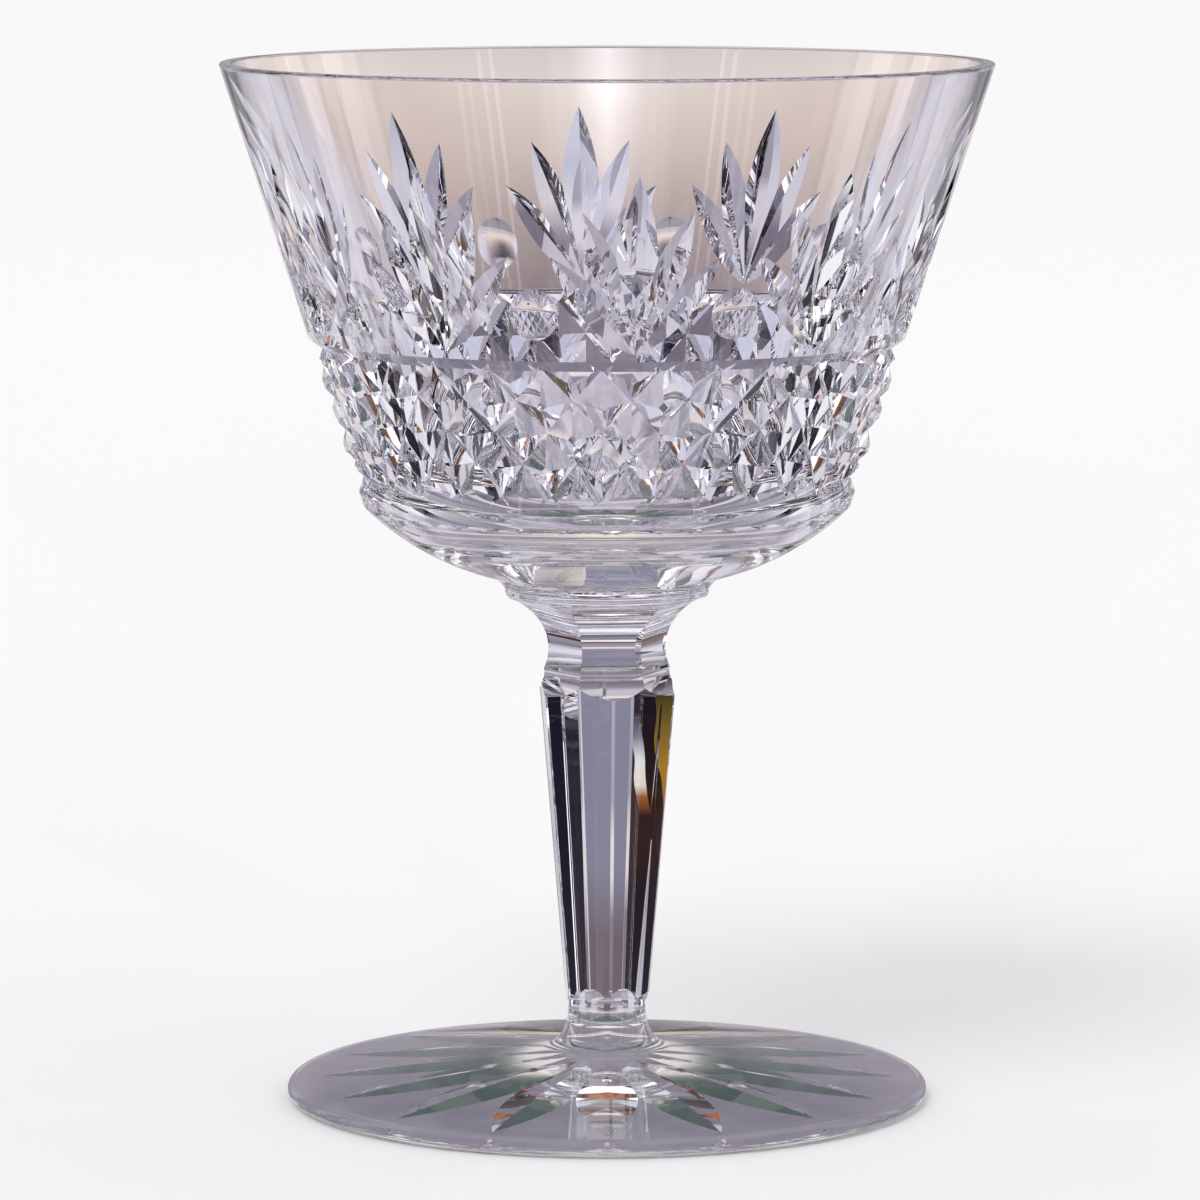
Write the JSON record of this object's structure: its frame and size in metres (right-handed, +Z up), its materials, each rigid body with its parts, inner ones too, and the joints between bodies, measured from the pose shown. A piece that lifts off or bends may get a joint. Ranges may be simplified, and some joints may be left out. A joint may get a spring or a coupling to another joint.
{
  "type": "stemmed drinking glass",
  "caption": "Short-stemmed drinking glass of wheel-cut crystal: flared conical bowl with a diamond band and fan cuts, fluted neck, faceted tapering stem and a star-cut foot",
  "frame": {"origin": "centre of the foot's underside, on the surface the glass stands on", "axes": "+Z up the axis of the glass; -Y is the front seen in the picture, with an edge of the shaft, a flat of the neck and the upright blade of a fan towards it; +X to the right"},
  "size_m": [0.0776, 0.0776, 0.105],
  "materials": {
    "lead_crystal": "polished clear crystal, wheel-cut facets polished bright"
  },
  "bodies": {
    "root": {"foot": "lead_crystal", "stem": "lead_crystal", "wafer": "lead_crystal", "bowl": "lead_crystal"}
  },
  "joints": []
}
